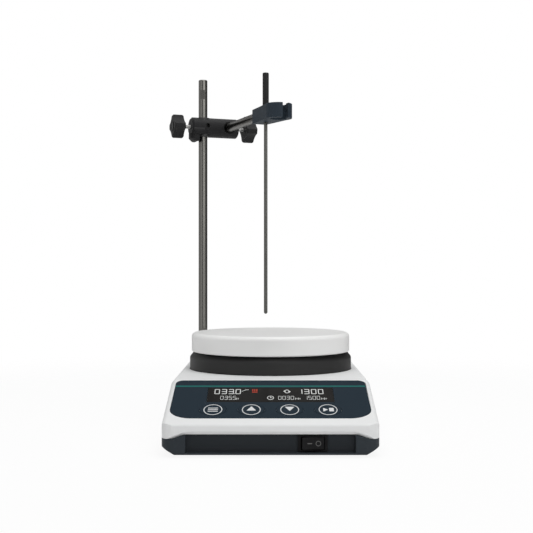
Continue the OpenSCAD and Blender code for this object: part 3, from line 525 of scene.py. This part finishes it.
# Control panel.
# A navy polyester membrane let into the slanted deck, with one teal line printed across it under the ridge.
def film(name):
    """Navy printed polyester film."""
    return moulding(name, srgb(40, 51, 60), srgb(37, 48, 57), grain=2200, depth=0.04,
                    rough=(0.5, 0.58), specular=0.02, cloud=9)


finish_node("control_overlay", film("panel_film"))
ridge = Vector((0, -0.0495, 0.045))
deck_out = -Vector(joints["menu_press"]["axis"])
deck_down = Vector((1, 0, 0)).cross(deck_out)
line_drop = 0.0126
line_size = (0.1432, 0.0026)
teal_ink = ink("teal_ink", srgb(24, 104, 98))


def on_deck(across, down, lift=0.0):
    """The place of a print on the deck, by its distance from the middle and down from the ridge."""
    centre = ridge + Vector((across, 0, 0)) + deck_down * down + deck_out * lift
    return plane_at(centre, (1, 0, 0), -deck_down)


lay_print("panel_line", [print_bar(*line_size)], on_deck(0, line_drop), teal_ink, "base")


# Display.
# A dark lens bonded flush in the panel. The digits are the lit segments of the display behind it:
# two large readings above, their set values below, with a few plain signs.
lens_dark = moulding("display_lens", srgb(32, 31, 30), srgb(28, 27, 26), grain=300, depth=0.0,
                     rough=(0.16, 0.22), specular=0.02, cloud=6)
finish_node("display_window", lens_dark)
finish_node("display_module", switch_black)
segment_white = ink("segment_white", srgb(222, 224, 222), glow=0.12)
segment_red = ink("segment_red", srgb(176, 66, 48), glow=0.1)


def print_segment(across, up):
    """One display segment: a bar with pointed ends."""
    bpy.ops.object.select_all(action="DESELECT")
    bpy.ops.mesh.primitive_plane_add(size=1)
    edit_all(lambda: bpy.ops.transform.resize(value=(across, up, 1), center_override=(0, 0, 0)),
             lambda: bpy.ops.mesh.bevel(offset=0.46 * min(across, up), segments=1, affect="VERTICES"))
    return bpy.context.object


# Which of the seven segments each digit lights, clockwise from the top and then the middle
lit = {"0": (1, 1, 1, 1, 1, 1, 0), "1": (0, 1, 1, 0, 0, 0, 0),
       "3": (1, 1, 1, 1, 0, 0, 1), "5": (1, 0, 1, 1, 0, 1, 1)}


def print_number(text, left, drop, wide, tall, pitch, line, bar_line):
    """A row of seven-segment digits; a point stands in the room between two digits."""
    shapes = []
    place = left + wide / 2
    half = (wide - line) / 2
    rise = (tall - bar_line) / 2
    spots = ((0, rise, 1), (half, rise / 2, 0), (half, -rise / 2, 0), (0, -rise, 1),
             (-half, -rise / 2, 0), (-half, rise / 2, 0), (0, 0, 1))
    for sign in text:
        if sign == ".":
            point = place - (pitch + 0.1 * line) / 2
            shapes.append(put(print_bar(0.8 * line, bar_line), point, -drop - rise))
            continue
        for on, (across, up, flat) in zip(lit[sign], spots):
            if on:
                size = (wide - 0.15 * line, bar_line) if flat else (line, rise + 0.45 * bar_line)
                shapes.append(put(print_segment(*size), place + across, up - drop))
        place += pitch
    return shapes


# Each number by its left end and the drop of its middle below the ridge.
# A size of digit is its width, height and pitch, and the line of its upright and its level segments.
high_drop = 0.0232
low_drop = 0.0351
large = (0.0039, 0.0093, 0.0052, 0.00060, 0.00096)
small = (0.0023, 0.0068, 0.00306, 0.00028, 0.00050)
shapes = print_number("033.0", -0.0416, high_drop, *large)
shapes += print_number("1300", 0.0198, high_drop, *large)
shapes += print_number("035.5", -0.0368, low_drop, *small)
shapes += print_number("0030", 0.0057, low_drop, *small)
shapes += print_number("1500", 0.0248, low_drop, *small)

# Slope sign after the large reading, short unit strokes after the set values
shapes.append(put(print_bar(0.0046, 0.0005), -0.0199, 0.0018 - high_drop, math.radians(48)))
shapes.append(put(print_bar(0.0024, 0.0006), -0.0174, 0.0036 - high_drop, math.radians(12)))
stroke_line = 0.0004
stroke_pitch = 0.0011
stroke_drop = low_drop + 0.0016
for left, strokes in ((-0.0247, 2), (0.0183, 4), (0.0374, 4)):
    for step in range(strokes):
        tall = 0.0032 - 0.0009 * (step % 2)
        shapes.append(put(print_bar(stroke_line, tall), left + stroke_pitch * step, -stroke_drop))

# Clock: a ring with two hands
clock_x = 0.0
shapes.append(put(print_ring(0.0025, 0.0005, 1.48), clock_x, -low_drop))
shapes.append(put(print_bar(0.0006, 0.0026), clock_x, 0.0010 - low_drop))
shapes.append(put(print_bar(0.0015, 0.0008), clock_x + 0.0006, -low_drop))

# Stirring: a ring with two arrow heads
stir_x = 0.0123
stir_drop = 0.0229
shapes.append(put(print_ring(0.0019, 0.0005, 1.75), stir_x, -stir_drop))


def print_triangle(across, up):
    """A flat triangle that points up, or down where both sizes are negative."""
    bpy.ops.object.select_all(action="DESELECT")
    bpy.ops.mesh.primitive_circle_add(vertices=3, radius=1 / math.sqrt(3), fill_type="NGON")
    high = up * 2 / math.sqrt(3)
    edit_all(lambda: bpy.ops.transform.resize(value=(across, high, 1), center_override=(0, 0, 0)),
             lambda: bpy.ops.mesh.bevel(offset=0.08 * abs(across), segments=3, affect="VERTICES"))
    return bpy.context.object


shapes.append(put(print_triangle(0.0021, 0.0026), stir_x - 0.0018, 0.0006 - stir_drop))
shapes.append(put(print_triangle(-0.0021, -0.0026), stir_x + 0.0018, -0.0006 - stir_drop))
segment_thick = 0.00004
lay_print("display_digits", shapes, on_deck(0, 0), segment_white, "base", segment_thick)

# Heating: three rising bars over a line, in red
heat_x = -0.0117
heat_drop = 0.0216
shapes = [put(print_bar(0.0040, 0.0013), heat_x, -heat_drop - 0.0028)]
for step in (-1, 0, 1):
    shapes.append(put(print_bar(0.0008, 0.0046), heat_x + 0.0015 * step, 0.0010 - heat_drop))
lay_print("display_heat_sign", shapes, on_deck(0, 0), segment_red, "base", segment_thick)


# Keys.
# Four round membrane keys, each with a printed ring and a plain sign: a list, up, down, and run with stop.
key_film = film("key_film")
key_ink = ink("key_ink", srgb(226, 228, 229))
key_drop = 0.0571
key_pitch = 0.0274
key_proud = 0.0001
ring_r = 0.0067
ring_line = 0.00062
ring_stretch = 1.39


def print_list():
    """Three short bars, one under another."""
    return [put(print_bar(0.0072, 0.0012), 0, 0.0028 * step) for step in (-1, 0, 1)]


def print_run_stop():
    """A triangle turned to the right beside a square."""
    return [put(print_triangle(0.0064, 0.0036), -0.0023, 0, math.radians(-90)),
            put(print_bar(0.0034, 0.0062), 0.0024, 0)]


signs = (("menu", print_list), ("up", lambda: [put(print_triangle(0.0070, 0.0076), 0, 0.0009)]),
         ("down", lambda: [put(print_triangle(-0.0070, -0.0076), 0, 0.0026)]), ("start", print_run_stop))
for step, (name, sign) in enumerate(signs):
    finish_node(name + "_key", key_film)
    lay_print(name + "_key_print", [print_ring(ring_r, ring_line, ring_stretch)] + sign(),
              on_deck((step - 1.5) * key_pitch, key_drop, key_proud), key_ink, "key_" + name)
finish_node("tact_switches", switch_black)


# Rear sockets.
# A three-pin mains inlet and a round sensor socket, both snapped into the rear wall of the casing.
socket_black = moulding("socket_black", srgb(38, 38, 39), srgb(30, 30, 31), grain=900, depth=0.15,
                        rough=(0.45, 0.6), specular=0.3)
finish_node("mains_inlet", socket_black, 0.0003)
finish_node("sensor_socket", socket_black, 0.0002)
jack_low, jack_high = (Vector(corner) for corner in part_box("sensor_socket"))
jack_mouth = Vector(((jack_low.x + jack_high.x) / 2, jack_high.y, (jack_low.z + jack_high.z) / 2))
jack_plane = plane_at(jack_mouth, (-1, 0, 0), (0, 0, 1))

# A nickel collar lines the mouth of the sensor socket, and four contacts stand in its bore
nickel = plated("nickel", srgb(186, 184, 178), 0.22)
collar_r = 0.0052
collar_wide = 0.0017
collar_thick = 0.0005
collar_edge = 0.00015
collar = lay_print("jack_collar", [print_ring(collar_r, collar_wide)], jack_plane, nickel, "base",
                   collar_thick)
edges = collar.modifiers.new("edges", "BEVEL")
edges.width = collar_edge
edges.segments = 3
edges.limit_method = "ANGLE"
bpy.ops.object.modifier_apply(modifier="edges")
contact_r = 0.00045
contact_len = 0.007
contact_tip = 0.00025
contact_ring = 0.0018
bore_depth = 0.01
smooth_below = math.radians(40)
contacts = []
for step in range(4):
    turn = math.radians(45 + 90 * step)
    bpy.ops.object.select_all(action="DESELECT")
    bpy.ops.mesh.primitive_cylinder_add(vertices=20, radius=contact_r, depth=contact_len)
    contact = bpy.context.object
    for face in contact.data.polygons:
        face.select = face.normal.z > 0.9
    bpy.ops.object.mode_set(mode="EDIT")
    bpy.ops.mesh.bevel(offset=contact_tip, segments=4, affect="EDGES")
    bpy.ops.object.mode_set(mode="OBJECT")
    contact.location = (contact_ring * math.cos(turn), contact_ring * math.sin(turn),
                        contact_len / 2 - bore_depth)
    contacts.append(contact)
bpy.ops.object.select_all(action="DESELECT")
for contact in contacts:
    contact.select_set(True)
bpy.context.view_layer.objects.active = contacts[0]
bpy.ops.object.join()
bpy.ops.object.transform_apply(location=True, rotation=True, scale=True)
contact = bpy.context.object
contact.name = "jack_contacts"
contact.matrix_world = jack_plane
bpy.ops.object.transform_apply(location=True, rotation=True, scale=True)
bpy.ops.object.shade_smooth_by_angle(angle=smooth_below)
contact.data.materials.append(plated("contact_brass", srgb(206, 172, 98), 0.25))
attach(contact, "base")


# Stirrer drive.
# A can motor hung from a folded bracket turns an alloy carrier with two magnets under the plate.
finish_node("motor_bracket", plated("plated_steel", srgb(170, 172, 172), 0.35))
finish_node("stirrer_motor", plated("motor_grey", srgb(120, 122, 125), 0.4))
finish_node("magnet_carrier", plated("carrier_alloy", srgb(186, 187, 188), 0.32))
finish_node("drive_magnets", plated("magnet_grey", srgb(92, 92, 94), 0.45))


# Heat shield and heater.
# The grey ring keeps the plate's heat off the casing. Under the plate lie a mica heater and a disc of wool.
ring_grey = moulding("ring_grey", srgb(52, 52, 52), srgb(46, 46, 46), grain=1100, depth=0.1,
                     rough=(0.44, 0.54), specular=0.16)
finish_node("insulating_ring", ring_grey, 0.0008)
ring_low, ring_high = (Vector(corner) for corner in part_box("insulating_ring"))
ring_middle = (ring_low + ring_high) / 2

# The chamfer under the plate is painted darker, as painted shade under the plate's rim, from its foot to
# full strength short of its top
painted_shade_from = ring_high.z - 0.0046
painted_shade_full = ring_high.z - 0.002
tint(ring_grey, above(ring_grey, painted_shade_from, painted_shade_full), srgb(6, 6, 6))

# A thin black bead round the ring's foot stands in for the contact shadow between ring and casing: a dark
# piece put where there is only shade
casing_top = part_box("upper_casing")[1][2]
bead_r = 0.0004
bead_clear = 0.00005
bpy.ops.object.select_all(action="DESELECT")
bpy.ops.mesh.primitive_torus_add(location=(ring_middle.x, ring_middle.y, casing_top), major_segments=128,
                                 minor_segments=16, major_radius=(ring_high.x - ring_low.x) / 2,
                                 minor_radius=bead_r)
bead = bpy.context.object
bead.name = "ring_foot_shadow"
bpy.ops.object.transform_apply(location=True, rotation=True, scale=True)
edit_all(lambda: bpy.ops.mesh.bisect(plane_co=(0, 0, casing_top + bead_clear), plane_no=(0, 0, 1),
                                     use_fill=True, clear_inner=True),
         lambda: bpy.ops.mesh.select_all(action="SELECT"),
         lambda: bpy.ops.mesh.normals_make_consistent(inside=False))
bpy.ops.object.shade_smooth_by_angle(angle=smooth_below)
foot_shadow_black = moulding("foot_shadow_black", srgb(24, 24, 24), srgb(18, 18, 18), grain=600, depth=0.2,
                      rough=(0.5, 0.65), specular=0.1)
bead.data.materials.append(foot_shadow_black)
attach(bead, "base")
heater_mica = moulding("heater_mica", srgb(150, 128, 92), srgb(120, 100, 70), grain=300, depth=0.3)
finish_node("heater_element", heater_mica)
wool = moulding("insulation_wool", srgb(214, 208, 194), srgb(190, 184, 170), grain=260, depth=0.8,
                rough=(0.8, 0.95), specular=0.1)
finish_node("insulation_disc", wool)


# Heating plate.
# Cast aluminium under a white ceramic glaze, which is smooth and has a faint orange-peel ripple.
plate_ceramic = moulding("plate_ceramic", srgb(250, 250, 249), srgb(246, 246, 245), grain=160, depth=0.05,
                         rough=(0.3, 0.4), specular=0.3, cloud=10)
finish_node("heating_plate", plate_ceramic)


# Support rod.
# Drawn stainless bar, screwed into a steel socket under the casing top, with two spanner flats near its top.
def make_drawn_group():
    """Drawn metal: long fine streaks along one axis, put out as a tone and a roughness."""
    group = bpy.data.node_groups.new("drawn_streaks", "ShaderNodeTree")
    socket = group.interface.new_socket("Along", in_out="INPUT", socket_type="NodeSocketVector")
    socket.default_value = (0, 0, 1)
    for name, value in (("Rough Low", 0.18), ("Rough High", 0.34)):
        socket = group.interface.new_socket(name, in_out="INPUT", socket_type="NodeSocketFloat")
        socket.default_value = value
    for name in ("Tone", "Roughness"):
        group.interface.new_socket(name, in_out="OUTPUT", socket_type="NodeSocketFloat")
    entry = group.nodes.new("NodeGroupInput")
    leave = group.nodes.new("NodeGroupOutput")
    place = group.nodes.new("ShaderNodeTexCoord")
    share = group.nodes.new("ShaderNodeVectorMath")
    share.operation = "DOT_PRODUCT"
    length = group.nodes.new("ShaderNodeVectorMath")
    length.operation = "SCALE"
    across = group.nodes.new("ShaderNodeVectorMath")
    across.operation = "SUBTRACT"
    fine = group.nodes.new("ShaderNodeVectorMath")
    fine.operation = "SCALE"
    fine.inputs["Scale"].default_value = 2600
    slow = group.nodes.new("ShaderNodeVectorMath")
    slow.operation = "SCALE"
    slow.inputs["Scale"].default_value = 30
    stretch = group.nodes.new("ShaderNodeVectorMath")
    stretch.operation = "ADD"
    streak = group.nodes.new("ShaderNodeTexNoise")
    streak.inputs["Scale"].default_value = 1
    streak.inputs["Detail"].default_value = 4
    gloss = group.nodes.new("ShaderNodeMapRange")
    gloss.inputs["From Min"].default_value = 0.3
    gloss.inputs["From Max"].default_value = 0.7
    group.links.new(place.outputs["Object"], share.inputs[0])
    group.links.new(entry.outputs["Along"], share.inputs[1])
    group.links.new(entry.outputs["Along"], length.inputs[0])
    group.links.new(share.outputs["Value"], length.inputs["Scale"])
    group.links.new(place.outputs["Object"], across.inputs[0])
    group.links.new(length.outputs["Vector"], across.inputs[1])
    group.links.new(across.outputs["Vector"], fine.inputs[0])
    group.links.new(length.outputs["Vector"], slow.inputs[0])
    group.links.new(fine.outputs["Vector"], stretch.inputs[0])
    group.links.new(slow.outputs["Vector"], stretch.inputs[1])
    group.links.new(stretch.outputs["Vector"], streak.inputs["Vector"])
    group.links.new(streak.outputs["Fac"], gloss.inputs["Value"])
    group.links.new(entry.outputs["Rough Low"], gloss.inputs["To Min"])
    group.links.new(entry.outputs["Rough High"], gloss.inputs["To Max"])
    group.links.new(streak.outputs["Fac"], leave.inputs["Tone"])
    group.links.new(gloss.outputs["Result"], leave.inputs["Roughness"])
    return group


drawn_group = make_drawn_group()


def drawn_steel(name, light, dark, along, rough):
    """Drawn stainless steel with its streaks along the bar."""
    material = bpy.data.materials.new(name)
    material.use_nodes = True
    tree = material.node_tree
    shader = tree.nodes["Principled BSDF"]
    shader.inputs["Metallic"].default_value = 1
    effect = tree.nodes.new("ShaderNodeGroup")
    effect.node_tree = drawn_group
    effect.inputs["Along"].default_value = along
    effect.inputs["Rough Low"].default_value = rough[0]
    effect.inputs["Rough High"].default_value = rough[1]
    tone = tree.nodes.new("ShaderNodeMix")
    tone.data_type = "RGBA"
    tone.inputs["A"].default_value = dark
    tone.inputs["B"].default_value = light
    tree.links.new(effect.outputs["Tone"], tone.inputs["Factor"])
    tree.links.new(tone.outputs["Result"], shader.inputs["Base Color"])
    tree.links.new(effect.outputs["Roughness"], shader.inputs["Roughness"])
    return material


stainless = drawn_steel("stainless", srgb(122, 121, 117), srgb(106, 105, 101), (0, 0, 1), (0.2, 0.3))
finish_node("support_rod", stainless, 0.0002)
finish_node("rod_socket", bright_zinc, 0.0003)


# Clamp head.
# A black die-cast boss with two crossed bores. A split nylon bush in one of them grips the rod.
boss_black = moulding("boss_black", srgb(42, 42, 43), srgb(35, 35, 36), grain=700, depth=0.12,
                      rough=(0.4, 0.5), specular=0.12)
finish_node("rod_bush", moulding("bush_nylon", srgb(60, 60, 60), srgb(52, 52, 52), grain=900))
finish_node("boss_head", boss_black, 0.00012)


# Clamp screws and knobs.
# Two lobed black knobs moulded on plated screws, one for the rod and one for the arm.
knob_black = moulding("knob_black", srgb(43, 43, 44), srgb(36, 36, 37), grain=1000, depth=0.15,
                      rough=(0.44, 0.54), specular=0.12)
dull_zinc = plated("dull_zinc", srgb(205, 205, 203), 0.35)
clamps = ("rod", "arm")
for clamp in clamps:
    finish_node(clamp + "_clamp_screw", dull_zinc, 0.0002)
    finish_node(clamp + "_clamp_knob", knob_black, 0.0002)
boss_middle = (Vector(joints["rod_knob_turn"]["pos_m"]) + Vector(joints["arm_knob_turn"]["pos_m"])) / 2


def knob_line(clamp):
    """Where a knob's inner face meets its screw, and the direction outward along the screw."""
    seat = Vector(joints[clamp + "_knob_turn"]["pos_m"])
    return seat, (seat - boss_middle).normalized()


def along_screw(spot, outward):
    """The place of a piece that has its own Z axis along a screw."""
    return Matrix.Translation(spot) @ outward.to_track_quat("Z", "Y").to_matrix().to_4x4()


# Each screw's thread is rolled on the length that shows between its knob and the mouth of its bore.
# The profile is a rounded triangle, stood on edge with its tip away from the screw and swept round it.
thread_pitch = 0.0007
thread_foot = 0.00056
thread_rise = 0.00032
thread_root_r = 0.00142
thread_margin = 0.00005
thread_steps = 32
mouth_r = 0.002
on_edge = Matrix(((0, 1, 0, 0), (0, 0, 1, 0), (1, 0, 0, 0), (0, 0, 0, 1)))
for clamp in clamps:
    seat, outward = knob_line(clamp)
    from_seat = [vertex.co - seat for vertex in nodes["boss_head"].data.vertices]
    bare = -max(way.dot(outward) for way in from_seat if way.cross(outward).length < mouth_r)
    thread = print_triangle(thread_foot, thread_rise)
    thread.name = clamp + "_screw_thread"
    edit_all(lambda: bpy.ops.mesh.delete(type="ONLY_FACE"))
    start = Vector((thread_root_r + thread_rise / 3, 0, thread_margin + thread_foot / 2 - bare))
    thread.matrix_world = Matrix.Translation(start) @ on_edge
    bpy.ops.object.transform_apply(location=True, rotation=True, scale=True)
    helix = thread.modifiers.new("helix", "SCREW")
    helix.screw_offset = thread_pitch
    helix.iterations = int((bare - 2 * thread_margin - thread_foot) / thread_pitch)
    helix.steps = thread_steps
    helix.render_steps = thread_steps
    bpy.ops.object.modifier_apply(modifier="helix")
    edit_all(lambda: bpy.ops.mesh.fill_holes(sides=0),
             lambda: bpy.ops.mesh.select_all(action="SELECT"),
             lambda: bpy.ops.mesh.normals_make_consistent(inside=False))
    thread.matrix_world = along_screw(seat, outward)
    bpy.ops.object.transform_apply(location=True, rotation=True, scale=True)
    bpy.ops.object.shade_smooth_by_angle(angle=smooth_below)
    thread.data.materials.append(dull_zinc)
    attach(thread, clamp + "_screw")

# A low round cap is moulded into the outer face of each knob, over the screw's end
cap_r = 0.0044
cap_rise = 0.0005
cap_rim = 0.0004
cap_dish = 0.0005
cap_dish_depth = 0.0003
cap_edge = 0.00012
cap_black = moulding("cap_black", srgb(37, 37, 38), srgb(31, 31, 32), grain=800, depth=0.08,
                     rough=(0.34, 0.42), specular=0.15)
for clamp in clamps:
    seat, outward = knob_line(clamp)
    face = max((vertex.co - seat).dot(outward) for vertex in nodes[clamp + "_clamp_knob"].data.vertices)
    bpy.ops.object.select_all(action="DESELECT")
    bpy.ops.mesh.primitive_circle_add(vertices=48, radius=cap_r, fill_type="NGON")
    cap = bpy.context.object
    cap.name = clamp + "_knob_cap"
    edit_all(lambda: bpy.ops.mesh.extrude_region_move(TRANSFORM_OT_translate={"value": (0, 0, cap_rise)}),
             lambda: bpy.ops.mesh.inset(thickness=cap_rim),
             lambda: bpy.ops.mesh.inset(thickness=cap_dish, depth=-cap_dish_depth),
             lambda: bpy.ops.mesh.select_all(action="SELECT"),
             lambda: bpy.ops.mesh.normals_make_consistent(inside=False))
    edges = cap.modifiers.new("edges", "BEVEL")
    edges.width = cap_edge
    edges.segments = 2
    edges.limit_method = "ANGLE"
    edges.angle_limit = edge_angle
    bpy.ops.object.modifier_apply(modifier="edges")
    cap.matrix_world = along_screw(seat + outward * face, outward)
    bpy.ops.object.transform_apply(location=True, rotation=True, scale=True)
    bpy.ops.object.shade_smooth_by_angle(angle=math.radians(30))
    cap.data.materials.append(cap_black)
    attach(cap, clamp + "_screw")


# Sensor arm and holder.
# A round stainless arm through the boss, and a navy moulded holder on its end.
# The holder has an open clip at its tip and a bore for the sensor.
arm_line = Vector(joints["arm_reach"]["axis"]).normalized()
arm_steel = drawn_steel("arm_steel", srgb(98, 96, 92), srgb(84, 82, 79), arm_line, (0.2, 0.3))
finish_node("sensor_arm", arm_steel, 0.0002)
holder_navy = moulding("holder_navy", srgb(52, 61, 70), srgb(46, 55, 64), grain=1300, depth=0.1,
                       rough=(0.42, 0.52), specular=0.1)
finish_node("sensor_holder", holder_navy, 0.0005)


# Temperature sensor.
# A thin stainless tube with a black moulded grip, which slides in the holder.
tube_steel = drawn_steel("tube_steel", srgb(104, 104, 101), srgb(88, 88, 85), (0, 0, 1), (0.24, 0.34))
finish_node("sensor_tube", tube_steel, 0.0001)
grip_black = moulding("grip_black", srgb(55, 55, 55), srgb(48, 48, 48), grain=1000, depth=0.2,
                      rough=(0.5, 0.6), specular=0.08)
finish_node("sensor_grip", grip_black, 0.0003)
